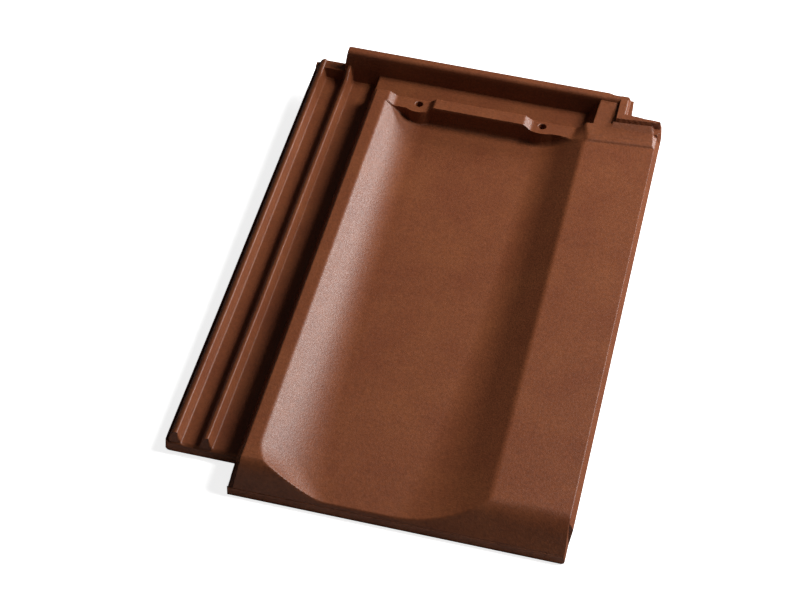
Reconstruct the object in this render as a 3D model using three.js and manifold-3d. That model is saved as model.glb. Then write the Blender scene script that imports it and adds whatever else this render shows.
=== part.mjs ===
// Interlocking clay roof tile: one pressed and fired body.
// Millimetres. X runs across the slope from the interlock to the cover flap,
// Y runs up the slope from the front lip to the head rim, Z is up.
import * as THREE from 'three';
import { mergeVertices } from 'three/addons/utils/BufferGeometryUtils.js';
import Module from 'manifold-3d';

const wasm = await Module();
wasm.setup();

// Levels above the underside of the front lip.
const SHOULDER = 28.5;      // flat top on both sides of the trough
const TROUGH_FLOOR = 10.4;
const GUTTER_FLOOR = 9;     // side interlock
const RIB_TOP = 18;
const HEAD_GUTTER = 18;
const LEDGE = 24;           // nail ledges
const SEAT = 31;            // where the flap of the tile above lies
const SEAT_STEP = 33.2;
const RIM_TOP = 36.5;
const LIP = 7.4;
const PLATE_UNDER = 0.5;
const FLAP_UNDER = 19.5;
const FLAP_EDGE = 18.5;
const TOOTH_END = 11.5;
const HEAD_UNDER = 7.5;
const BLOCK_FOOT = 4;       // head pieces reach this far down into the body
const NIB_DROP = 10;

// Places across the tile.
const PLATE_LEFT = -52.4;
const RIB_LEFT = [-50, -28];        // foot of each rib on its outer side
const RIB_LEAN = 5.1;
const RIB_CREST = 1.3;
const RIB_FOOT = 2.4;
const WALL_FOOT = -1;
const STRIP_LEFT = 5.8;
const TROUGH_LEFT = 15.6;
const TROUGH_MID = 88;
const TROUGH_RIGHT = 173.7;
const HEAD_RIGHT = 178;
const OUTER_RIM = 193.6;
const OUTER_RIM_SIDE = 200.5;
const FLAP_TOP_EDGE = 227.6;
const FLAP_SIDE = 231;
const FOOT_SIDE = 228.4;
const LIP_RIGHT = 229.4;
const HOLES = [41, 139.3];
const NAIL_HOLE = 3;                // radius at the top
const NIBS = [44, 142];
const SEAT_ENDS = [172, 226];

// Places up the tile.
const FOOT_WALL = 14.4;     // the foot is solid this far, and the cover flap starts behind it
const PLATE_FRONT = 26;
const CORNER_END = 34;      // the trough's rounded corner ends here
const STATIONS = [18, 22, 27, CORNER_END, 60, 95, 140, 200, 280];
const SEAT_FRONT = 379.4;
const RIDGE_FRONT = 384;
const HOLE_LINE = 390.7;
const RIDGE_BACK = 393.5;
const LEDGE_BACK = 397;
const NIB_FRONT = 400.5;
const OUTER_RIM_FRONT = 400.8;
const OUTER_RIM_BACK = 406.6;
const RIM_FRONT = 421;
const RIM_BACK = 429.5;

// The trough's banks, at the head and near the foot. Falls are drops per millimetre.
const FOOT_FADE = 120;      // the foot's rounder shape dies away over this length
const LEFT_FALL = { head: 0.93, foot: 0.63 };
const LEFT_ROUND = { head: 10, foot: 23 };
const RIGHT_START = { head: 147, foot: 135, fade: 150 };
const RIGHT_ROUND = { head: 10.5, foot: 23.5, fade: 90 };   // reach of the rounding at its foot
const CORNER = { x: 17, y: 21, fall: 0.8, turn: Math.PI / 6, round: 10 };
const RAMP = { x: 162, front: 140, across: 0.62, along: 0.8 };


// Apron: [x, depth of the straight climb from the lip, height of the rounding at its top].
const APRON = [[5, 7, 10], [30, 8.6, 11], [100, 12.6, 6], [160, 15, 6], [190, 15.5, 9],
  [228, 14.4, 11]];
const APRON_TURN = [[-1, 1], [-0.5, 0.5625], [0, 0.25], [0.5, 0.0625], [1, 0]];
const RIM_RIGHT = { inner: 204.6, outer: FLAP_SIDE, front: 396, back: 410 };
const NAIL_LEDGES = [[22.5, 49.5, 7, 5], [131, 163, 7, 7]];     // x range, lean of each end
const NAIL_BULGES = [2.6, 1.6];
const NIB_HALF = { end: 11, root: 13.5, top: 15 };
const NIB_BACK = { end: 409, root: 412, top: 414 };

const FAR = 60;             // cutters reach this far past the clay
const SOFT = 0.3;           // edges of the pressed rims fall back by this

// A closed skin over rings of equal count, with both ends capped.
function loft(rings) {
  const n = rings[0].length;
  const points = rings.flat();
  const index = [];
  for (let r = 0; r + 1 < rings.length; r++) {
    for (let i = 0; i < n; i++) {
      const a = r * n + i;
      const b = r * n + ((i + 1) % n);
      index.push(a, b, b + n, a, b + n, a + n);
    }
  }
  const cap = (ring, base, flip) => {
    const normal = new THREE.Vector3();
    for (let i = 0; i < n; i++) {
      normal.add(new THREE.Vector3().crossVectors(ring[i], ring[(i + 1) % n]));
    }
    normal.normalize();
    const side = new THREE.Vector3(normal.y, normal.z, normal.x).cross(normal).normalize();
    const up = new THREE.Vector3().crossVectors(normal, side);
    const flat = ring.map((p) => new THREE.Vector2(p.dot(side), p.dot(up)));
    for (const [a, b, c] of THREE.ShapeUtils.triangulateShape(flat, [])) {
      if (flip) index.push(base + a, base + c, base + b);
      else index.push(base + a, base + b, base + c);
    }
  };
  cap(rings[0], 0, true);
  cap(rings[rings.length - 1], (rings.length - 1) * n, false);
  const geometry = new THREE.BufferGeometry().setFromPoints(points);
  geometry.setIndex(index);
  return solid(geometry);
}

function solid(geometry) {
  const clean = geometry.clone();
  clean.deleteAttribute('normal');
  clean.deleteAttribute('uv');
  const merged = mergeVertices(clean, 1e-4);
  const mesh = new wasm.Mesh({
    numProp: 3,
    vertProperties: Float32Array.from(merged.attributes.position.array),
    triVerts: Uint32Array.from(merged.index.array),
  });
  const out = new wasm.Manifold(mesh);
  return out.volume() < 0 ? solid(flipped(geometry)) : out;
}

function flipped(geometry) {
  const index = Array.from(geometry.index.array);
  for (let i = 0; i < index.length; i += 3) [index[i], index[i + 1]] = [index[i + 1], index[i]];
  return geometry.clone().setIndex(index);
}

// Sections (x, z), one for each y.
const alongY = (stations) => loft(stations.map(
  ([y, section]) => section.map(([x, z]) => new THREE.Vector3(x, y, z))));

// One section (y, z) run from one x to another.
const alongX = (section, from, to) => loft([from, to].map(
  (x) => section.map(([y, z]) => new THREE.Vector3(x, y, z))));

// Plan outlines (x, y), one for each height.
const alongZ = (levels) => loft(levels.map(
  ([z, plan]) => plan.map(([x, y]) => new THREE.Vector3(x, y, z))));

const rectangle = (x0, x1, y0, y1) => [[x0, y0], [x1, y0], [x1, y1], [x0, y1]];

// The larger of two heights, with a fillet where they differ by less than blend.
function filleted(a, b, blend) {
  const gap = Math.max(0, 1 - Math.abs(a - b) / blend);
  return Math.max(a, b) + blend / 4 * gap * gap;
}

// Trough: a bank on the left that grows gentler and rounder towards the foot and ends in a
// flat corner there, and a curved bank on the flap side that starts further out at the foot.
function troughHeight(x, y) {
  const at = ({ head, foot, fade = FOOT_FADE }) =>
    head + (foot - head) * Math.exp(-Math.max(y, 0) / fade);
  if (x < TROUGH_MID) {
    const bank = SHOULDER - at(LEFT_FALL) * (x - TROUGH_LEFT);
    const corner = SHOULDER - CORNER.fall
      * (Math.cos(CORNER.turn) * (x - CORNER.x) + Math.sin(CORNER.turn) * (y - CORNER.y));
    return Math.min(SHOULDER, filleted(
      filleted(bank, TROUGH_FLOOR, at(LEFT_ROUND)), corner, CORNER.round));
  }
  const rise = (SHOULDER - TROUGH_FLOOR) / (TROUGH_RIGHT - at(RIGHT_START));
  const bank = SHOULDER - rise * (TROUGH_RIGHT - x);
  return Math.min(SHOULDER, filleted(bank, TROUGH_FLOOR, rise * at(RIGHT_ROUND)));
}

function topLine(y) {
  const line = [[PLATE_LEFT, GUTTER_FLOOR]];
  for (const foot of RIB_LEFT) {
    const crest = foot + RIB_LEAN;
    line.push([foot, GUTTER_FLOOR], [crest, RIB_TOP], [crest + RIB_CREST, RIB_TOP],
      [crest + RIB_CREST + RIB_FOOT, GUTTER_FLOOR]);
  }
  line.push([WALL_FOOT, GUTTER_FLOOR], [STRIP_LEFT, SHOULDER]);
  const steps = 44;
  for (let i = 0; i <= steps; i++) {
    const t = Math.sin((i / steps - 0.5) * Math.PI) * 0.5 + 0.5;
    const x = TROUGH_LEFT + (TROUGH_RIGHT - TROUGH_LEFT) * t;
    line.push([x, i === 0 || i === steps ? SHOULDER : troughHeight(x, y)]);
  }
  return line;
}

const underLine = [
  [FLAP_TOP_EDGE, SHOULDER],
  [FLAP_SIDE, FLAP_EDGE], [225.5, FLAP_EDGE], [224.5, TOOTH_END], [216.5, TOOTH_END],
  [215, FLAP_UNDER], [201, FLAP_UNDER], [199.8, TOOTH_END], [191.2, TOOTH_END],
  [189.7, FLAP_UNDER], [179, FLAP_UNDER], [172, 16.5], [163, 8], [152, 2.5], [140, 0],
  [42, 0], [30, 4.5], [21, 11.5], [15, 17], [11.5, 16.5], [6.5, 2.5], [4, PLATE_UNDER],
  [PLATE_LEFT - 0.5, PLATE_UNDER],
];

let body = alongY([FOOT_WALL, ...STATIONS, RIDGE_FRONT + 1, RIM_BACK].map(
  (y) => [y, [...topLine(y), ...underLine]]));

// Front foot wall, solid from the lip's underside to the top.
body = body.add(alongY([0, 3, 6, 10, FOOT_WALL].map((y) => [y, [[-3.5, -1],
  ...topLine(y).filter(([x]) => x >= STRIP_LEFT), [FOOT_SIDE, SHOULDER], [LIP_RIGHT, LIP],
  [LIP_RIGHT, 2.5], [LIP_RIGHT - 2.5, -1]]])));

// The interlock plate stops short of the lip; the pan's own side wall runs on past it.
const notch = (foot, head) => [[-2 * FAR, -FAR], [foot, -FAR], [foot, 0], [head, PLATE_FRONT],
  [-2 * FAR, PLATE_FRONT]];
body = body.subtract(alongZ([[-1, notch(-0.2, -3.6)], [SHOULDER + 1, notch(6.8, 6.1)]]));
const round = 4;
body = body.subtract(alongZ([-1, SHOULDER].map((z) => [z, [
  [PLATE_LEFT - FAR, PLATE_FRONT + round], [PLATE_LEFT, PLATE_FRONT + round],
  [PLATE_LEFT + 0.3 * round, PLATE_FRONT + 0.3 * round], [PLATE_LEFT + round, PLATE_FRONT],
  [PLATE_LEFT - FAR, PLATE_FRONT - round]]])));

// Apron: a straight climb from the lip, turned over into the shoulder.
const apronEnds = [[PLATE_LEFT - FAR, ...APRON[0].slice(1)], ...APRON,
  [FLAP_SIDE + FAR, ...APRON[APRON.length - 1].slice(1)]];
body = body.intersect(loft(apronEnds.map(([x, depth, turn]) => {
  const slope = depth / (SHOULDER - LIP);
  return [
    [0, -FAR], [0, LIP],
    ...APRON_TURN.map(([reach, drop]) => [depth + reach * turn * slope, SHOULDER - drop * turn]),
    [depth + 2 * turn * slope, SHOULDER + FAR],
    [RIM_BACK + FAR, SHOULDER + FAR], [RIM_BACK + FAR, -FAR],
  ].map(([y, z]) => new THREE.Vector3(x, y, z));
})));

// Rib ends slope down to the plate's front edge.
body = body.subtract(alongX([[PLATE_FRONT - 9, GUTTER_FLOOR + 0.3],
  [PLATE_FRONT, GUTTER_FLOOR + 0.3], [PLATE_FRONT + 2.6, RIB_TOP],
  [PLATE_FRONT + 3.5, RIB_TOP + 3], [PLATE_FRONT - 9, RIB_TOP + 3]], -FAR, -6));

// A slanting ramp lifts the trough's right bank to the nail ledge.
const rampAt = (x, y) => LEDGE - RAMP.across * (RAMP.x - x) - RAMP.along * (RIDGE_FRONT - y);
const rampFoot = RIDGE_FRONT - (rampAt(HEAD_RIGHT, RIDGE_FRONT) - BLOCK_FOOT) / RAMP.along;
body = body.add(loft([RAMP.front, HEAD_RIGHT].map((x) => [
  [rampFoot, rampAt(x, rampFoot)], [RIDGE_FRONT, rampAt(x, RIDGE_FRONT)],
  [RIDGE_FRONT, -FAR], [rampFoot, -FAR],
].map(([y, z]) => new THREE.Vector3(x, y, z)))).intersect(alongZ([BLOCK_FOOT, SHOULDER].map(
  (z) => [z, rectangle(RAMP.front, HEAD_RIGHT, rampFoot, RIDGE_FRONT)]))));

// Head: a block across the trough, the rim behind it, and the gutter cut between them.
body = body.add(alongX([[RIDGE_FRONT, SHOULDER], [RIDGE_FRONT - 1, TROUGH_FLOOR],
  [RIDGE_FRONT - 1, BLOCK_FOOT], [RIM_BACK, BLOCK_FOOT], [RIM_BACK, SHOULDER]], 10, HEAD_RIGHT));
body = body.add(alongZ([
  [BLOCK_FOOT, rectangle(-27, 200, RIM_FRONT - 1.2, RIM_BACK)],
  [RIM_TOP - 2, rectangle(-25.2, OUTER_RIM_SIDE, RIM_FRONT + 0.6, RIM_BACK)],
  [RIM_TOP, rectangle(-24.4, OUTER_RIM_SIDE, RIM_FRONT + 1.8, RIM_BACK - SOFT)]]));
const sideWall = [[PLATE_LEFT + 1, 14.5, 425], [RIB_LEFT[0] + RIB_LEAN - 1, RIB_TOP, 420]];
for (const [x, z, front] of sideWall) {
  body = body.add(alongZ([
    [BLOCK_FOOT, rectangle(x - 1, -20, front - 1, RIM_BACK)],
    [z, rectangle(x, -20, front, RIM_BACK - SOFT)]]));
}

// Clay bulges forward round each nail hole.
const bulgeHalf = 9;
HOLES.forEach((x, i) => {
  const arc = [-9, -6, -3, 0, 3, 6, 9].map((d) => [
    x + d, RIDGE_FRONT - 0.6 - NAIL_BULGES[i] * (1 - (d / bulgeHalf) ** 2)]);
  body = body.add(alongZ([BLOCK_FOOT, LEDGE + 1].map((z) => [
    z, [...arc, [x + bulgeHalf, HOLE_LINE], [x - bulgeHalf, HOLE_LINE]]])));
});

// Right end of the head: stepped seat for the tile above, and its outer rim.
body = body.add(alongX([[SEAT_FRONT, SHOULDER], [SEAT_FRONT + 1, SHOULDER + 1.2],
  [RIM_RIGHT.front, SEAT], [RIM_BACK - 2, RIM_TOP - 2], [RIM_BACK - 2, FLAP_UNDER + SOFT],
  [SEAT_FRONT, FLAP_UNDER + SOFT]], ...SEAT_ENDS));
body = body.add(alongX([[RIM_RIGHT.front - 1, SEAT - 0.5], [RIM_RIGHT.front + 4, SEAT_STEP],
  [RIM_RIGHT.front + 8, SEAT_STEP], [RIM_RIGHT.front + 8, FLAP_UNDER + SOFT],
  [RIM_RIGHT.front - 1, FLAP_UNDER + SOFT]], OUTER_RIM, FLAP_TOP_EDGE - SOFT));
const outerRim = (left, inner, outer, front, back) => [[left, front], [outer - 2.5, front],
  [outer, front + 2.5], [outer, back - 3], [outer - 3, back], [inner, back],
  [inner, RIM_BACK], [left, RIM_BACK]];
const { inner, outer, front, back } = RIM_RIGHT;
body = body.add(alongZ([
  [FLAP_UNDER - 1.5, outerRim(OUTER_RIM - 2, inner, outer, front, back)],
  [SEAT - 0.5, outerRim(OUTER_RIM - 2, inner, outer - 0.2, front, back - 1)],
  [SEAT, outerRim(OUTER_RIM, inner - 1.6, outer - 1.2, OUTER_RIM_FRONT - 0.8, back - 2)],
  [RIM_TOP, outerRim(OUTER_RIM + 0.9, OUTER_RIM_SIDE, outer - 2.6, OUTER_RIM_FRONT,
    OUTER_RIM_BACK)]]));
for (const [bottom, top, gap] of [[-FAR, FLAP_UNDER, 0], [FLAP_UNDER - 2, FAR, 0.1]]) {
  body = body.subtract(alongZ([bottom, top].map((z) => [
    z, rectangle(inner + gap, outer + FAR, back + gap, RIM_BACK + FAR)])));
}

// Head gutter, open to the side gutter at its left end.
const gutter = (right, front, back) => rectangle(-8, right, front, back);
body = body.subtract(alongZ([
  [HEAD_GUTTER, gutter(168, LEDGE_BACK + 1, RIM_FRONT)],
  [RIM_TOP, gutter(178.4, RIDGE_BACK - 1, RIM_FRONT + 1.2)]]));

// Nail ledges on both sides of the ridge bar, with the nail holes.
const ledgeFront = RIDGE_FRONT - 14;
const ledgeBack = RIM_RIGHT.back;
for (const [left, right, leanLeft, leanRight] of NAIL_LEDGES) {
  body = body.subtract(alongZ([
    [LEDGE, rectangle(left, right, ledgeFront, ledgeBack)],
    [SHOULDER + 1, rectangle(left - leanLeft, right + leanRight, ledgeFront, ledgeBack)]]));
}
for (const x of HOLES) {
  body = body.subtract(solid(new THREE.CylinderGeometry(NAIL_HOLE, NAIL_HOLE - SOFT, FAR, 24)
    .rotateX(Math.PI / 2).translate(x, HOLE_LINE, TROUGH_FLOOR)));
}

// Underside of the head, and the two nibs that hang on the batten.
body = body.subtract(alongX([[NIB_FRONT, -FAR], [NIB_FRONT, 0], [NIB_FRONT + 4, HEAD_UNDER],
  [RIM_BACK + FAR, HEAD_UNDER], [RIM_BACK + FAR, -FAR]], WALL_FOOT, 5 * FAR));
for (const x of NIBS) {
  body = body.add(alongZ([
    [-NIB_DROP - 1, rectangle(x - NIB_HALF.end, x + NIB_HALF.end, NIB_FRONT, NIB_BACK.end)],
    [0, rectangle(x - NIB_HALF.root, x + NIB_HALF.root, NIB_FRONT, NIB_BACK.root)],
    [HEAD_UNDER + 2, rectangle(x - NIB_HALF.top, x + NIB_HALF.top, NIB_FRONT, NIB_BACK.top)]]));
}

// The lip and the nibs end on one plane, so the tile lies still on a level floor.
const REST_TILT = Math.atan2(NIB_DROP, NIB_FRONT);
const floorAt = (y) => -y * Math.tan(REST_TILT);
body = body.subtract(alongX([[-FAR, floorAt(-FAR)], [RIM_BACK + FAR, floorAt(RIM_BACK + FAR)],
  [RIM_BACK + FAR, -2 * FAR], [-FAR, -2 * FAR]], -2 * FAR, 5 * FAR));

function geometryOf(manifold) {
  const mesh = manifold.getMesh();
  const geometry = new THREE.BufferGeometry();
  geometry.setAttribute('position', new THREE.BufferAttribute(
    Float32Array.from(mesh.vertProperties), 3));
  geometry.setIndex(Array.from(mesh.triVerts));
  geometry.computeVertexNormals();
  return geometry;
}

const clay = new THREE.MeshStandardMaterial({ color: 0x7f4e3a, roughness: 0.45, metalness: 0 });
const tile = new THREE.Mesh(geometryOf(body), clay);
tile.name = 'clay_tile';
tile.rotation.x = REST_TILT;

// Row frame: the middle of the underside of its bounding box.
const bounds = new THREE.Box3().setFromObject(tile, true);
tile.position.set(-(bounds.min.x + bounds.max.x) / 2, -(bounds.min.y + bounds.max.y) / 2,
  -bounds.min.z);

const group = new THREE.Group();
group.name = 'roof_tile';
group.add(tile);
export default group;
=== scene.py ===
import math

import bpy
import numpy as np
from mathutils import Matrix, Vector


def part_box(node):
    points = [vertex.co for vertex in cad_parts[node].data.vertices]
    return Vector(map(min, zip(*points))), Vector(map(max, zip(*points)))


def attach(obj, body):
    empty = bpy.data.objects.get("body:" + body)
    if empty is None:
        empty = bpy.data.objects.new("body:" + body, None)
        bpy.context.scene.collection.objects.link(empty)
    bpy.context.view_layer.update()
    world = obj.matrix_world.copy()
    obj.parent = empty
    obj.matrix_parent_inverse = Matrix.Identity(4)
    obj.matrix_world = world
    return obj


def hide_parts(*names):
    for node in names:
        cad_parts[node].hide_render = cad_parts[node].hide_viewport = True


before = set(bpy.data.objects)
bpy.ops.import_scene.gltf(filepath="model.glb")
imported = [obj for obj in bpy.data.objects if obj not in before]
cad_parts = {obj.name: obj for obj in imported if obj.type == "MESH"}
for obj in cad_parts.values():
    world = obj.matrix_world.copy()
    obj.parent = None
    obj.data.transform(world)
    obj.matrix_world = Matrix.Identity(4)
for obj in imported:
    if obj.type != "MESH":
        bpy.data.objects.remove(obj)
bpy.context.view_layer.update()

# ---------------------------------------------------------------------------------------
# Tile: one body of red clay, pressed between two moulds, trimmed, sprayed with engobe and
# fired. It hangs on a batten by the two nibs under its head, and its side interlock and
# cover flap hook into the neighbouring tiles.
# ---------------------------------------------------------------------------------------

# Sizes in millimetres in the tile's own frame: x across, y up the slope, z up from the
# underside of the lip. First the heights of its levels.
SHOULDER = 28.5             # flat top on both sides of the trough
TROUGH_FLOOR = 10.4
GUTTER_FLOOR = 9            # of the side interlock
RIB_TOP = 18
HEAD_GUTTER = 18
LEDGE = 24                  # nail ledges
SEAT = 31                   # back of the seat that carries the next tile's flap
RIM_TOP = 36.5
LIP = 7.4

# Places across the tile.
PLATE_LEFT = -52.4          # interlock plate
PAN_SIDE = -3.2             # foot of the pan's side wall, in front of the plate
STRIP_LEFT = 5.8            # flat strip beside the trough
TROUGH_LEFT = 15.6
TROUGH_MID = 88
TROUGH_RIGHT = 173.7
HEAD_RIGHT = 178
OUTER_RIM = 193.6
OUTER_RIM_SIDE = 200.5
RIM_INNER = 204.6
FLAP_TOP_EDGE = 227.6
FLAP_SIDE = 231
OVERALL_WIDTH = 283.9

# Places up the slope.
FOOT_WALL = 14.4            # the foot is solid clay up to here
PLATE_FRONT = 26
WALL_BASE = 383.3           # foot of the head's front
RIDGE_FRONT = 383.9
RIDGE_BACK = 393.5
SEAT_BACK = 396.4
NIB_FRONT = 400.5
RIM_BLOCK_BACK = 410
RIM_FRONT = 421
RIM_BACK = 429.5

HOLES = (41, 139.3)         # nail holes, across
HOLE_LINE = 390.7           # and up the slope
HOLE_RADIUS = 3


def lower(a, b, width):
    """Lower of two heights. Where they differ by less than width it dips below both by
    (width - gap)^2 / 4 width, which rounds the edge between them."""
    gap = np.maximum(width - np.abs(a - b), 0)
    return np.minimum(a, b) - gap * gap / (4 * width)


def higher(a, b, width):
    """Higher of two heights, with the same rounding as lower but upwards."""
    return -lower(-a, -b, width)


def line(v, v0, z0, v1, z1):
    """Height at v on the straight line from (v0, z0) to (v1, z1), which runs on past both."""
    return z0 + (z1 - z0) * (v - v0) / (v1 - v0)


def through(v, *points):
    """Height at v on straight lines through the points (v, z), level before and after them."""
    places, heights = zip(*points)
    return np.interp(v, places, heights)


def step(v, start, end):
    """0 before start, 1 after end, and 3t^2 - 2t^3 between."""
    t = np.clip((v - start) / (end - start), 0, 1)
    return t * t * (3 - 2 * t)


def rounding(distance, radius):
    """Drop of a quarter-round edge: radius less the circle's height this far from the edge."""
    inward = np.clip(radius - distance, 0, radius)
    return radius - np.sqrt(np.maximum(radius ** 2 - inward ** 2, 0))


def filleted(corners, steps=4):
    """Path through corners (x, z, cut). Each inner corner P becomes the parabola
    (1 - s)^2 A + 2 s (1 - s) P + s^2 B, with A and B at the cut's distance from it."""
    points, cut = corners[:, :2], corners[1:-1, 2:]
    sides = np.diff(points, axis=0)
    sides /= np.linalg.norm(sides, axis=1, keepdims=True)
    before, after = points[1:-1] - cut * sides[:-1], points[1:-1] + cut * sides[1:]
    s = np.linspace(0, 1, steps)[:, None, None]
    arcs = (1 - s) ** 2 * before + 2 * s * (1 - s) * points[1:-1] + s * s * after
    return np.concatenate((points[:1], arcs.transpose(1, 0, 2).reshape(-1, 2), points[-1:]))


# Section of the side interlock in points (x, z, cut): an edge bead, a groove, and two ribs
# with a gutter after each.
INTERLOCK = filleted(np.array((
    (PLATE_LEFT, 8.3, 0), (-52, 9.5, 0.3), (-51.2, 9.5, 0.4), (-50.6, 8.5, 0.3),
    (-50.1, 8.8, 0.3), (-48.3, 15, 0.9), (-46.8, 17, 0.8), (-45.1, 17.8, 0.6),
    (-43.3, RIB_TOP, 1.1), (-40.7, GUTTER_FLOOR, 1.2), (-27.4, GUTTER_FLOOR, 0.9),
    (-25.4, 15.8, 0.9), (-23.8, 17.5, 0.7), (-21.3, RIB_TOP, 1.1),
    (-18.7, GUTTER_FLOOR, 1.2), (-0.6, GUTTER_FLOOR, 0))))


# The upper skin is a height over a grid in plan, whose lines lie closer together where the
# clay turns sharply, and closest at the rims of the nail holes.
def spread(*stretches):
    """Grid lines: each stretch (start, end, step) is cut into equal steps no longer than step."""
    runs = [np.linspace(a, b, math.ceil((b - a) / size - 1e-6) + 1) for a, b, size in stretches]
    return np.unique(np.concatenate(runs).round(3))


HOLE_STEPS = np.array((0, 0.7, 1.4, 2.2, HOLE_RADIUS, 3.2, 3.45, 3.7, 4.1, 4.8, 5.6))
HOLE_REACH = HOLE_STEPS[-1]
FLAP_STEPS = np.array((0.07, 0.14, 0.21, 0.28, 0.42, 0.58, 0.74, 0.86, 0.93, 1))


def around(centre):
    """Grid lines on both sides of a nail hole, closest together at its rim."""
    return np.concatenate((centre - HOLE_STEPS, centre + HOLE_STEPS))


across = np.unique(np.concatenate((
    INTERLOCK[:-1, 0], (PAN_SIDE,),
    spread((-40, -28, 1.5), (-27, -23, 0.5), (-18, PAN_SIDE, 1.6), (PAN_SIDE, 7, 0.6),
           (7, 14, 1.2), (14, 24, 0.8), (24, HOLES[0] - HOLE_REACH, 1.1),
           (HOLES[0] + HOLE_REACH, 60, 1.1), (60, 120, 2.4),
           (120, HOLES[1] - HOLE_REACH, 1.1), (HOLES[1] + HOLE_REACH, 166, 1),
           (166, 180, 0.7), (180, 192.6, 1.4), (192.6, 195, 0.4), (195, 200, 1),
           (200, RIM_INNER, 0.5), (RIM_INNER, 222, 1.5), (222, FLAP_TOP_EDGE, 0.6)),
    FLAP_TOP_EDGE + (FLAP_SIDE - FLAP_TOP_EDGE) * FLAP_STEPS,
    around(HOLES[0]), around(HOLES[1]))).round(3))
along = np.unique(np.concatenate((
    spread((0, 0.6, 0.12), (0.6, 2, 0.35), (2, FOOT_WALL, 0.6),
           (FOOT_WALL, FOOT_WALL + 0.3, 0.3), (FOOT_WALL + 0.3, PLATE_FRONT, 0.75),
           (PLATE_FRONT, 29, 0.33), (29, 371, 6.5), (371, 379.2, 0.9),
           (379.2, HOLE_LINE - HOLE_REACH, 0.33), (HOLE_LINE + HOLE_REACH, 404, 0.4),
           (404, 415, 0.9), (415, RIM_FRONT, 0.5), (RIM_FRONT, 425.5, 0.3),
           (425.5, 428.5, 0.75), (428.5, RIM_BACK, 0.25)),
    around(HOLE_LINE), (WALL_BASE, RIDGE_FRONT, SEAT_BACK, RIM_BLOCK_BACK))).round(3))
U, V = np.meshgrid(across, along, indexing="ij")
X, Y = U.copy(), V.copy()

# The grid bends with the clay. The ribs run slightly askew.
askew = through(V, (PLATE_FRONT, -0.75), (160, 0), (RIM_FRONT, -0.3))
X += askew * through(U, (PLATE_LEFT, 0.6), (-49.6, 1), (-18, 1), (PAN_SIDE, 0))

# The head's front swells round each nail hole.
BULGES = (2.6, 1.6)
BULGE_HALF = 9
SWELL_START, SWELL_FULL = 374, 382
swell = np.minimum((V - SWELL_START) / (SWELL_FULL - SWELL_START),
                   (HOLE_LINE - HOLE_RADIUS - V) / 3)
for hole, bulge in zip(HOLES, BULGES):
    Y -= bulge * np.clip(swell, 0, 1) * np.clip(1 - ((U - hole) / BULGE_HALF) ** 2, 0, 1)

# Squares of the grid round a nail hole turn into circles, and back to squares further out.
ROUND_REACH = 4.1
for hole in HOLES:
    dx, dy = U - hole, V - HOLE_LINE
    square = np.maximum(np.abs(dx), np.abs(dy))
    pull = np.clip((HOLE_REACH - square) / (HOLE_REACH - ROUND_REACH), 0, 1)
    pull = pull * (square / np.maximum(np.hypot(dx, dy), 1e-6) - 1)
    X += dx * pull
    Y += dy * pull

# In front of the plate the foot of the pan's side wall draws in towards the lip, and the grid
# follows it up to PULL_END.
PULL_END = 9
pan_foot = through(V, (0, -0.8), (2, -1.3), (8, -2.4), (PLATE_FRONT, PAN_SIDE))
X += ((pan_foot - PAN_SIDE) * (V < PLATE_FRONT)
      * np.clip((PULL_END - U) / (PULL_END - PAN_SIDE), 0, 1))

# The flap's top edge stands further out at the foot and beside the seat, and its side draws
# in at the foot and round the back corner of the outer rim.
EDGE_SWELL = 0.8
SWELL_FROM = 220
FOOT_DRAW = 1.6
BLOCK_CORNER = 3
past = np.clip((U - FLAP_TOP_EDGE) / (FLAP_SIDE - FLAP_TOP_EDGE), 0, 1)
foot_part = V <= FOOT_WALL
seat_part = step(V, SEAT_BACK, 399.5)
edge_out = EDGE_SWELL * np.maximum(1 - step(V, 2, 14), seat_part)
side = FLAP_SIDE - FOOT_DRAW * foot_part - rounding(RIM_BLOCK_BACK - V, BLOCK_CORNER)
top_edge = FLAP_TOP_EDGE + edge_out
X = np.where(past > 0, top_edge + past * (side - top_edge),
             X + edge_out * np.clip((U - SWELL_FROM) / (FLAP_TOP_EDGE - SWELL_FROM), 0, 1))

# The plate's front corner is round, and the rim's back steps forward beside the outer rim.
PLATE_CORNER = 4
CORNER_GRIP = -44           # the grid gives way left of here
BACK_STEP = 1.3
X += ((V >= PLATE_FRONT) * rounding(V - PLATE_FRONT, PLATE_CORNER)
      * np.clip((CORNER_GRIP - U) / (CORNER_GRIP - PLATE_LEFT), 0, 1))
Y -= BACK_STEP * step(U, 184, 190) * step(V, 424, RIM_BACK)

# Side interlock: its section, with the ribs cut off steeply near the plate's front. At the
# head the inner rib climbs to the rim, and the outer one ends in a small peak.
BETWEEN_RIBS = -30
INNER_CLIMB, INNER_START = 6, 409
OUTER_PEAK, OUTER_START, OUTER_END = 1.2, 413, 418
PLATE_EDGE = 0.9            # rounding of its front edge, behind which the ribs rise
RIB_SLOPE = 1.8             # length of their steep ends
FRONT_DIP = 1.5             # the gutters fall by this at the plate's front
ribs = through(U, *INTERLOCK)
peak = np.where(U > BETWEEN_RIBS, INNER_CLIMB * step(V, INNER_START, RIM_FRONT),
                OUTER_PEAK * step(V, OUTER_START, OUTER_END))
ribs += peak * np.clip((ribs - GUTTER_FLOOR) / (RIB_TOP - GUTTER_FLOOR), 0, 1)
rib_foot = PLATE_FRONT + PLATE_EDGE
rib_end = line(V, rib_foot, GUTTER_FLOOR, rib_foot + RIB_SLOPE, RIB_TOP)
ribs = np.where(ribs > GUTTER_FLOOR, np.minimum(ribs, np.maximum(rib_end, GUTTER_FLOOR)), ribs)
ribs -= rounding(V - PLATE_FRONT, PLATE_EDGE)
ribs -= FRONT_DIP * (1 - step(V, PLATE_FRONT, PLATE_FRONT + 2.5)) * step(U, -41, -36)


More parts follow.
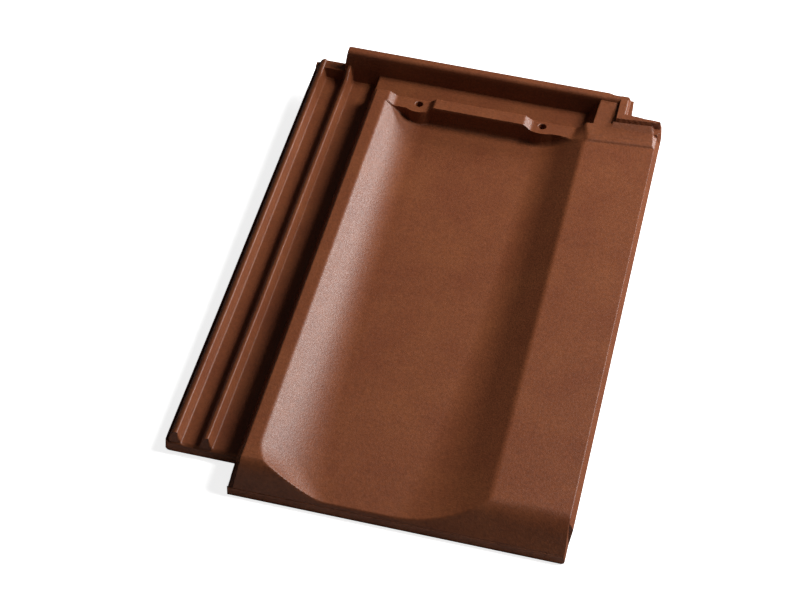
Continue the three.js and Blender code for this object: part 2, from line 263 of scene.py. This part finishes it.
def eased(head, foot, length):
    """Size that is foot at the lip and eases to head: head + (foot - head) exp(-y / length)."""
    return head + (foot - head) * np.exp(-np.maximum(Y, 0) / length)


# Trough. Its left bank falls straight to the floor, more gently towards the foot, where a flat
# corner faces across and up the slope. Its right bank starts further out there. The floor
# rises slightly towards the head. Falls are drops per millimetre.
FLOOR_RISE = 1.2
CORNER_X, CORNER_Y = 16.5, 18.5
CORNER_ACROSS, CORNER_ALONG = 0.632, 0.488
CORNER_ROUND = 6
left_fall, left_round = eased(0.93, 0.65, 120), eased(12, 16, 120)
right_start, right_round = eased(147, 135, 150), eased(10.5, 23.5, 90)
floor_height = TROUGH_FLOOR + FLOOR_RISE * step(V, 150, WALL_BASE)
left_bank = higher(SHOULDER - left_fall * (X - TROUGH_LEFT), floor_height, left_round)
corner = SHOULDER - CORNER_ACROSS * (X - CORNER_X) - CORNER_ALONG * (Y - CORNER_Y)
left_bank = higher(left_bank, corner, CORNER_ROUND)
right_fall = (SHOULDER - floor_height) / (TROUGH_RIGHT - right_start)
right_bank = higher(floor_height, SHOULDER - right_fall * (TROUGH_RIGHT - X),
                    right_fall * right_round)

# A slanting ramp lifts the right bank to the nail ledge, and the head's front stands up from
# the floor, with a wider rounding at its foot away from the left ledge.
RAMP_TOP = 162
RAMP_ACROSS, RAMP_ALONG = 0.62, 0.8
RAMP_ROUND = 3
ramp = LEDGE - RAMP_ACROSS * (RAMP_TOP - X) - RAMP_ALONG * (RIDGE_FRONT - Y)
trough = np.where(X < TROUGH_MID, left_bank, higher(right_bank, ramp, RAMP_ROUND))
head_front = line(V, WALL_BASE, TROUGH_FLOOR, RIDGE_FRONT, SHOULDER)
head_foot = rounding(WALL_BASE - V, through(X, (40, 0.8), (70, 3)))
pan = np.maximum(trough + head_foot, head_front)

# Apron at the foot: from the lip's top edge it climbs straight to the shoulder, and turns over
# in a wide rounding, which is widest beside the interlock. Both in points (x, size).
LIP_CROWN = LIP + 0.1
LIP_EDGE = 0.5
APRON_DEPTH = ((5, 7), (30, 8.6), (100, 12.6), (174, 15.4), (200, 15.5), (228, 14.4))
APRON_ROUND = ((5, 19), (16, 17), (40, 10), (100, 6), (160, 6), (190, 9), (228, 11))
APRON_END = 30
apron = lower(line(Y, LIP_EDGE / 2, LIP_CROWN, through(X, *APRON_DEPTH), SHOULDER),
              SHOULDER, through(X, *APRON_ROUND))
trough_edge = 0.9 + 0.3 * step(Y, 8, 40)
pan = lower(pan, np.where(Y > APRON_END, SHOULDER, apron), trough_edge)
pan = np.where(V < LIP_EDGE, LIP_CROWN - rounding(V, LIP_EDGE), pan)

# Seat for the next tile: a raised band, with a fine groove behind its front edge. A slope goes
# on behind it, and on the right a steeper one up to the foot of the outer rim. Its front edge
# and the outer rim's both run slightly askew, and its left edge leans in towards the head.
SEAT_CREST = 29.7
GROOVE_DEPTH, GROOVE_WIDTH, GROOVE_BACK = 0.2, 0.7, 4.2
STRIP_FOOT = 33.1
SLOPE_END, SLOPE_TOP = 427.5, 34.5
seat_front = 380.2 + 0.09 * (X - 179)
seat_left = through(V, (380, 173.9), (386, 172.3), (392, 170.4), (403, 169.6))
strip_front = 401.6 + 0.088 * (X - 202.4)
band = lower(line(V, seat_front - 1.5, SHOULDER - 0.1, seat_front + 0.2, SEAT_CREST + 0.2),
             line(V, seat_front, SEAT_CREST, SEAT_BACK, SEAT), 0.6)
band -= GROOVE_DEPTH * np.exp(-((V - seat_front - GROOVE_BACK) / GROOVE_WIDTH) ** 2)
riser = np.minimum(line(V, SEAT_BACK, SEAT, strip_front, STRIP_FOOT), STRIP_FOOT)
slope = line(V, SEAT_BACK, SEAT, SLOPE_END, SLOPE_TOP)
seat = np.where(V > SEAT_BACK, np.where(X > OUTER_RIM - 2.1, riser, slope), band)
seat = lower(seat, line(X, seat_left, SHOULDER, seat_left + 0.8, SEAT), 0.5)
seat = lower(seat, line(X, FLAP_TOP_EDGE, SHOULDER - 0.2, FLAP_TOP_EDGE - 2.8, SEAT), 0.8)
pan = np.where((X > 168) & (V > 378), np.maximum(pan, seat), pan)

# Nail ledges, each (left, right, how far its left and right ends lean out). The right one ends
# at the seat's left edge.
LEDGE_SHARE = 1.22          # its end reaches the shoulder's height at the seat's edge
CUT_TOP = SHOULDER + 1
ledge_right = through(V, (383.5, 163.5), (395, 165.2))
ledges = ((22.5, 49.5, 7, 5),
          (131, ledge_right, 7, LEDGE_SHARE * (seat_left - ledge_right)))
for start, end, lean_left, lean_right in ledges:
    ledge = higher(line(X, start, LEDGE, start - lean_left, CUT_TOP),
                   line(X, end, LEDGE, end + lean_right, CUT_TOP), 1)
    pan = np.where(V > 372, lower(pan, higher(ledge, LEDGE, 1), 0.7), pan)

# Head gutter behind the ridge. Its right end slants up under the seat's slope, and in front of
# it stands the block's square corner.
GUTTER_FRONT = 398
GUTTER_RIGHT = 170
gutter = higher(line(V, GUTTER_FRONT, HEAD_GUTTER, RIDGE_BACK - 1, RIM_TOP), HEAD_GUTTER, 2.5)
gutter = higher(gutter, line(X, GUTTER_RIGHT, HEAD_GUTTER, HEAD_RIGHT, SEAT + 1), 1)
block = np.minimum(line(X, GUTTER_RIGHT - 0.6, HEAD_GUTTER, GUTTER_RIGHT + 0.2, RIM_TOP),
                   line(V, GUTTER_FRONT - 0.4, HEAD_GUTTER, GUTTER_FRONT - 1.4, RIM_TOP))
pan = np.where(V > 388, lower(pan, np.maximum(gutter, block), 0.8), pan)

# The holes' edges are worn down.
HOLE_EDGE, HOLE_WEAR = 3.45, 0.35
for hole in HOLES:
    ring = np.hypot(X - hole, Y - HOLE_LINE)
    pan -= HOLE_WEAR * np.clip((HOLE_EDGE - ring) / (HOLE_EDGE - HOLE_RADIUS), 0, 1)

# The pan's side wall. In front of the plate it flares to its foot, and the lip runs past it.
flare = higher(line(X, pan_foot, -1, pan_foot + 4, 7),
               line(X, 3.2, 8, STRIP_LEFT + 0.1, SHOULDER), 2)
flare = np.where(V < 1.6, np.maximum(flare, LIP), flare)
side_wall = line(X, -1, GUTTER_FLOOR, STRIP_LEFT, SHOULDER)
pan = lower(pan, np.where(V < PLATE_FRONT, flare, side_wall), 1.6)
Z = np.where((V < PLATE_FRONT) | (X > 30), pan, higher(ribs, pan, 1.2))

# Head rim, with a wide rounding in front, and two lower walls that close the side gutters,
# each (left, top, front).
RIM_ROUND = 2.9
RIM_EDGE = RIM_FRONT + 1.4
rim = np.where(V < RIM_EDGE, line(V, RIM_FRONT, HEAD_GUTTER, RIM_EDGE, RIM_TOP - RIM_ROUND),
               RIM_TOP - rounding(V - RIM_EDGE, RIM_ROUND))
rim = lower(rim, line(X, -27.2, HEAD_GUTTER, -25, RIM_TOP), 1.2)
rim -= 0.5 * rounding(RIM_BACK - V, 0.8)
Z = np.where((X < OUTER_RIM_SIDE + 0.01) & (V > 415), higher(Z, rim, 2), Z)
for start, top, front in ((PLATE_LEFT + 1, 14.5, 425), (-45.9, RIB_TOP, 420)):
    closing = lower(line(V, front - 1, 4, front, top + 1), top, 1)
    closing = lower(closing, line(X, start - 1, 4, start, top + 1), 1)
    Z = np.where(X < -20, np.maximum(Z, closing), Z)

# Outer rim: an upright strip that turns the corner to the flap, on a lower shelf.
SHELF_EDGE = 30.4
STRIP_LEAN = 0.7
shelf = through(V, (395.5, 0), (396.5, SEAT), (409, SEAT), (RIM_BLOCK_BACK, SHELF_EDGE))
shelf = np.where((X < RIM_INNER + 0.01) & (V > 408), SEAT, shelf)
shelf_side = through(X, (203, SEAT + 4), (RIM_INNER, SHELF_EDGE))
shelf = np.where(V < 408, shelf, np.minimum(shelf, shelf_side))
strip = line(V, strip_front, STRIP_FOOT, strip_front + 0.5, RIM_TOP)
strip = lower(strip, line(X, OUTER_RIM, SEAT, OUTER_RIM + STRIP_LEAN, RIM_TOP), 0.6)
strip_back = 407.8 - 0.06 * (X - 205)
outside = np.maximum(line(X, 203.2, SEAT, OUTER_RIM_SIDE, RIM_TOP),
                     line(V, strip_back + 1.8, SEAT, strip_back, RIM_TOP))
strip = lower(lower(strip, outside, 2), RIM_TOP, 1)
outer_rim = np.where(V > 395.5, np.maximum(strip, shelf), 0)
Z = np.where(X > 192, np.maximum(Z, outer_rim), Z)
Z -= rounding(RIM_BACK - V, 0.9) * 0.6 * (X < -24)

# The cover flap's outer side: a small rounding at the top edge, then a steep face down to its
# foot. Beside the seat it has the outer rim's steps.
FLAP_FOOT = 19.9
edge_height = Z[np.searchsorted(across, FLAP_TOP_EDGE)] * np.ones_like(Z)
face_foot = np.where(foot_part, 3, FLAP_FOOT)
flap = edge_height + (face_foot - edge_height) * np.clip((past - 0.07) / 0.93, 0, 1)
flap -= 0.5 * np.clip(past / 0.28, 0, 1) * (1 - past)
rim_side = through(past, (0, RIM_TOP), (0.3, SEAT + 0.6), (0.45, SEAT), (0.6, 30), (1, FLAP_FOOT))
flap += (np.minimum(rim_side, edge_height) - flap) * seat_part
Z = np.where(past > 0, flap, Z)

# Lower skin. The lip and the nibs end on one plane, on which the tile lies on a level floor.
NIB_DROP = 10
REST_TILT = math.atan2(NIB_DROP, NIB_FRONT)
NIBS = (44, 142)
NIB_HALF = 11
NIB_BACK = 409
PLATE_UNDER = 0.5
FLAP_UNDER = 19.5
FLAP_EDGE = 18.5
TOOTH_END = 11.5            # ribs under the flap
HEAD_UNDER = 7.5
BLOCK_FOOT = 4              # head block and rim
HOLLOW = ((PLATE_LEFT, PLATE_UNDER), (4, PLATE_UNDER), (6.5, 2.5), (11.5, 16.5), (15, 17),
          (21, 11.5), (30, 4.5), (42, 0), (140, 0), (152, 2.5), (163, 8), (172, 16.5),
          (179, FLAP_UNDER), (189.7, FLAP_UNDER), (191.2, TOOTH_END), (199.8, TOOTH_END),
          (201, FLAP_UNDER), (215, FLAP_UNDER), (216.5, TOOTH_END), (224.5, TOOTH_END),
          (225.5, FLAP_EDGE), (FLAP_SIDE, FLAP_EDGE))


def floor_level(v):
    """Height of the floor under a place up the slope: a straight fall by the rest tilt."""
    return -v * math.tan(REST_TILT)


def lower_skin(x, v):
    """Underside: the hollow section through its points (x, z), solid at the foot, raised under
    the head, with two nibs that taper down, and nowhere below the floor."""
    z = through(x, *HOLLOW)
    under_block = (v > RIDGE_FRONT) & (x > 10) & (x < HEAD_RIGHT)
    under_rim = (v > RIM_FRONT) & (x > -24) & (x < 200)
    z = np.where(under_block | under_rim, np.minimum(z, BLOCK_FOOT), z)
    raised = through(v, (NIB_FRONT, 0), (NIB_FRONT + 4, HEAD_UNDER))
    z = np.where((v > NIB_FRONT) & (x > -1), np.maximum(z, raised), z)
    for nib in NIBS:
        taper = np.maximum(np.abs(x - nib) - NIB_HALF, (v - NIB_BACK) * 0.9) * 4
        nib_end = np.where((v >= NIB_FRONT) & (v < 415), taper - NIB_DROP, HEAD_UNDER)
        z = np.where(v >= NIB_FRONT, np.minimum(z, nib_end), z)
    z = np.where((v <= FOOT_WALL) & (x > PAN_SIDE), floor_level(v), z)
    z = z + rounding(FLAP_SIDE - FOOT_DRAW - x, 2.5) * ((v <= FOOT_WALL) & (x > 220))
    return np.maximum(z, floor_level(v))


THINNEST = 0.2              # clay left where the upper skin comes down to the floor
Z = np.maximum(Z, floor_level(V) + THINNEST)
UNDER = lower_skin(X, V)
UNDER_X = np.maximum(X - 0.5 * (U < PLATE_LEFT + 0.01), FLAP_SIDE - OVERALL_WIDTH)

# Cells of the plan: none in front of the interlock plate, behind the flap, or in the holes.
u, v = (across[1:] + across[:-1])[:, None] / 2, (along[1:] + along[:-1])[None] / 2
cells = ~((u < PAN_SIDE) & (v < PLATE_FRONT)) & ~((u > RIM_INNER) & (v > RIM_BLOCK_BACK))
for hole in HOLES:
    cells &= np.maximum(np.abs(u - hole), np.abs(v - HOLE_LINE)) > HOLE_RADIUS


def coarse(lines, keep, every=3):
    """Lines that the lower skin keeps: every third, and each one inside a keep range."""
    kept = np.arange(len(lines)) % every == 0
    for start, end in keep:
        kept |= (lines >= start - 1e-3) & (lines <= end + 1e-3)
    kept[[0, -1]] = True
    return kept


def quads(kept_u, kept_v, first):
    """Four corners of each cell of the plan between the kept lines, as numbers of the nodes,
    which are counted along v from first."""
    i, j = np.flatnonzero(kept_u), np.flatnonzero(kept_v)
    ids = first + i[:, None] * len(along) + j
    corners = np.stack((ids[:-1, :-1], ids[1:, :-1], ids[1:, 1:], ids[:-1, 1:]), -1)
    return corners[cells[np.ix_(i[:-1], j[:-1])]]


hole_spans = [(hole - HOLE_RADIUS, hole + HOLE_RADIUS) for hole in (*HOLES, HOLE_LINE)]
under_u = coarse(across, [(-1.2, 7), (9, 22), (162, 181), (188, 202), (214, 227),
                          (PAN_SIDE, PAN_SIDE), (RIM_INNER, RIM_INNER), *hole_spans[:2]])
under_v = coarse(along, [(FOOT_WALL - 0.5, FOOT_WALL + 0.5), (383, 405),
                         (PLATE_FRONT, PLATE_FRONT), (RIM_BLOCK_BACK, RIM_BLOCK_BACK),
                         hole_spans[2]])
last_u = np.maximum.accumulate(np.where(under_u, np.arange(len(across)), 0))
last_v = np.maximum.accumulate(np.where(under_v, np.arange(len(along)), 0))
first_under = U.size


def curtain(edges, di, dj, turned):
    """Triangles down from each edge of the upper skin, node (i, j) to node (i + di, j + dj), to
    the kept nodes of the lower skin that come last before its two ends."""
    i, j = np.nonzero(edges)
    start, end = (i, j), (i + di, j + dj)
    if turned:
        start, end = end, start
    (top0, low0), (top1, low1) = (
        (i * len(along) + j, first_under + last_u[i] * len(along) + last_v[j])
        for i, j in (start, end))
    outer, inner = np.stack((top0, top1, low1), -1), np.stack((top0, low1, low0), -1)
    return np.concatenate((outer, inner[low0 != low1]))


# Faces: the upper skin, the lower skin turned over, and walls where a cell has no neighbour.
upper_faces = quads(np.ones(len(across), bool), np.ones(len(along), bool), 0)
under_faces = quads(under_u, under_v, first_under)[:, ::-1]
padded = np.pad(cells, 1)
on_left, on_right = padded[:-1, 1:-1], padded[1:, 1:-1]
in_front, behind = padded[1:-1, :-1], padded[1:-1, 1:]
walls = np.concatenate((
    curtain(behind & ~in_front, 1, 0, True), curtain(in_front & ~behind, 1, 0, False),
    curtain(on_right & ~on_left, 0, 1, False), curtain(on_left & ~on_right, 0, 1, True)))

# From the tile's frame to the world's: it leans by the rest tilt, on its lip and nibs.
box_low, box_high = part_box("clay_tile")
points = np.stack((np.stack((X, Y, Z), -1), np.stack((UNDER_X, Y, UNDER), -1))).reshape(-1, 3)
x, y, z = points.T
cos, sin = math.cos(REST_TILT), math.sin(REST_TILT)
places = np.stack((x - FLAP_SIDE + 1000 * box_high.x,
                   y * cos - z * sin + LIP * sin + 1000 * box_low.y,
                   y * sin + z * cos), -1) / 1000
used = np.unique(np.concatenate([f.ravel() for f in (upper_faces, under_faces, walls)]))
number = np.zeros(len(places), int)
number[used] = np.arange(len(used))
faces = [face for part in (upper_faces, under_faces, walls) for face in number[part].tolist()]
mesh = bpy.data.meshes.new("fired_tile")
mesh.from_pydata(places[used].tolist(), [], faces)
mesh.shade_smooth()
mesh.set_sharp_from_angle(angle=math.radians(38))
tile = bpy.data.objects.new("fired_tile", mesh)
bpy.context.collection.objects.link(tile)


def linear(hex_colour):
    """sRGB hex to linear: each channel c becomes c / 12.92 below 0.04045, else
    ((c + 0.055) / 1.055)^2.4."""
    channels = [int(hex_colour[k:k + 2], 16) / 255 for k in (1, 3, 5)]
    return [c / 12.92 if c <= 0.04045 else ((c + 0.055) / 1.055) ** 2.4 for c in channels] + [1]


def node(tree, kind, sockets=(), **settings):
    """Adds a node with its settings. A socket, named or numbered, gets a value or a link."""
    made = tree.nodes.new(kind)
    for key, value in settings.items():
        setattr(made, key, value)
    for socket, value in dict(sockets).items():
        if isinstance(value, bpy.types.NodeSocket):
            tree.links.new(value, made.inputs[socket])
        else:
            made.inputs[socket].default_value = value
    return made


# Engobe: a thin slip sprayed on before firing. It gives an even satin skin: cloudy in colour
# where it lies thicker, with a fine grain that catches the light in tiny sparks. The real grain
# is about 0.3 mm wide, too fine to show, so it is drawn at 1.5 mm and its blotches at 2.4 mm.
engobe = bpy.data.materials.new("engobed_fired_clay")
engobe.use_nodes = True
clay = engobe.node_tree
shader = clay.nodes["Principled BSDF"]
shader.inputs["IOR"].default_value = 1.45
shader.inputs["Specular IOR Level"].default_value = 0.42
NOISE_LOW, NOISE_HIGH = 0.3, 0.7    # nearly all of a noise lies between these
place = node(clay, "ShaderNodeTexCoord").outputs["Object"]
grain, blotches, clouds = (
    node(clay, "ShaderNodeTexNoise", {"Vector": place, "Scale": 1000 / size_mm,
                                      "Detail": detail, "Roughness": rough}).outputs["Fac"]
    for size_mm, detail, rough in ((1.5, 3, 0.7), (2.4, 2, 0.6), (36, 3, 0.6)))
tones = []
for noise, dark, light in ((clouds, "#713c23", "#7b4528"), (blotches, "#e2e2e2", "#ffffff")):
    tone = node(clay, "ShaderNodeValToRGB", {"Fac": noise})
    for stop, at, tint in zip(tone.color_ramp.elements, (NOISE_LOW, NOISE_HIGH), (dark, light)):
        stop.position, stop.color = at, linear(tint)
    tones.append(tone.outputs["Color"])
colour = node(clay, "ShaderNodeMixRGB", {"Fac": 1, "Color1": tones[0], "Color2": tones[1]},
              blend_type="MULTIPLY")
gloss = node(clay, "ShaderNodeMapRange", {"Value": grain, "From Min": NOISE_LOW,
                                          "From Max": NOISE_HIGH, "To Min": 0.34, "To Max": 0.5})
relief = node(clay, "ShaderNodeBump", {"Height": grain, "Strength": 1, "Distance": 0.00022})
clay.links.new(colour.outputs["Color"], shader.inputs["Base Color"])
clay.links.new(gloss.outputs["Result"], shader.inputs["Roughness"])
clay.links.new(relief.outputs["Normal"], shader.inputs["Normal"])
mesh.materials.append(engobe)

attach(tile, "root")
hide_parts("clay_tile")

# ---------------------------------------------------------------------------------------
# Studio: a pale matt table that the eye sees as white, and two round soft lamps to the right
# and behind: the key, and a low one that puts the sheen on the trough's left bank. A faint
# white sky fills the shadows.
# ---------------------------------------------------------------------------------------
TABLE_SIZE = 3              # metres
TABLE_GLOW = 0.8            # what the eye sees of it in full shadow
TABLE_PALE = 0.95           # what it throws back of the light
TABLE_IN_GLOSS = 0.03       # and the same as a reflection in the tile
ROOM_IN_GLOSS = 0.02        # share of the white room that the satin tile takes on
SKY_FILL = 0.06
LAMP_SIZE = 0.7
LAMP_DISTANCE = 1.8


def shown_to_eye(tree):
    """Outputs of a Light Path, and what of the ray is for the eye: camera ray plus transmission
    ray, plus the room's share of glossy ray."""
    ray = node(tree, "ShaderNodeLightPath").outputs
    direct = node(tree, "ShaderNodeMath", {0: ray["Is Camera Ray"], 1: ray["Is Transmission Ray"]})
    seen = node(tree, "ShaderNodeMath", {0: ray["Is Glossy Ray"], 1: ROOM_IN_GLOSS,
                                         2: direct.outputs[0]}, operation="MULTIPLY_ADD")
    return ray, seen.outputs[0]


bpy.ops.mesh.primitive_plane_add(size=TABLE_SIZE)
floor = bpy.context.object
floor.name = "floor"
paper = bpy.data.materials.new("pale_matt_table")
paper.use_nodes = True
table = paper.node_tree
table.nodes.clear()
ray, seen = shown_to_eye(table)
shown = node(table, "ShaderNodeMath", {0: seen, 1: TABLE_GLOW}, operation="MULTIPLY")
glow = node(table, "ShaderNodeEmission", {"Strength": shown.outputs[0]})
pale = node(table, "ShaderNodeMapRange", {"Value": ray["Is Glossy Ray"], "To Min": TABLE_PALE,
                                          "To Max": TABLE_IN_GLOSS})
matt = node(table, "ShaderNodeBsdfDiffuse", {"Color": pale.outputs["Result"]})
both = node(table, "ShaderNodeAddShader", {0: glow.outputs[0], 1: matt.outputs[0]})
node(table, "ShaderNodeOutputMaterial", {"Surface": both.outputs[0]})
floor.data.materials.append(paper)


def soft_lamp(name, height, azimuth, power):
    """Round lamp that faces the tile, this high and this far round from +X to +Y in degrees."""
    data = bpy.data.lights.new(name, "AREA")
    data.shape = "DISK"
    data.size = LAMP_SIZE
    data.energy = power
    lamp = bpy.data.objects.new(name, data)
    bpy.context.collection.objects.link(lamp)
    up, turn = math.radians(height), math.radians(azimuth)
    aim = Vector((math.cos(up) * math.cos(turn), math.cos(up) * math.sin(turn), math.sin(up)))
    lamp.matrix_world = (Matrix.Translation(LAMP_DISTANCE * aim)
                         @ aim.to_track_quat("Z", "Y").to_matrix().to_4x4())


soft_lamp("key", 46, 18, 40)
soft_lamp("low_back", 20, 48, 25)
world = bpy.data.worlds.new("studio")
world.use_nodes = True
sky = world.node_tree
background = sky.nodes["Background"]
background.inputs["Color"].default_value = (1, 1, 1, 1)
ray, seen = shown_to_eye(sky)
fill = node(sky, "ShaderNodeMath", {0: ray["Is Diffuse Ray"], 1: SKY_FILL, 2: seen},
            operation="MULTIPLY_ADD")
sky.links.new(fill.outputs[0], background.inputs["Strength"])
bpy.context.scene.world = world
bpy.context.scene.view_settings.view_transform = "Standard"

# ---------------------------------------------------------------------------------------
# Camera: a long lens, above the foot of the tile and a little to its right. It is turned,
# raised and rolled about a point near the tile's middle.
# ---------------------------------------------------------------------------------------
VIEW_TURN = math.radians(10.88)
VIEW_HEIGHT = math.radians(45.4)
VIEW_ROLL = math.radians(3.25)
VIEW_DISTANCE = 1.5446
VIEW_TARGET = Vector((-0.01585, -0.0250, 0.01997))
camera_data = bpy.data.cameras.new("view")
camera_data.lens = 96.4
camera_data.sensor_width = 36
camera = bpy.data.objects.new("view", camera_data)
bpy.context.collection.objects.link(camera)
turned = (Matrix.Rotation(VIEW_TURN, 4, "Z") @ Matrix.Rotation(math.pi / 2 - VIEW_HEIGHT, 4, "X")
          @ Matrix.Rotation(VIEW_ROLL, 4, "Z"))
backed_off = turned.to_3x3() @ Vector((0, 0, VIEW_DISTANCE))
camera.matrix_world = Matrix.Translation(VIEW_TARGET + backed_off) @ turned
bpy.context.scene.camera = camera
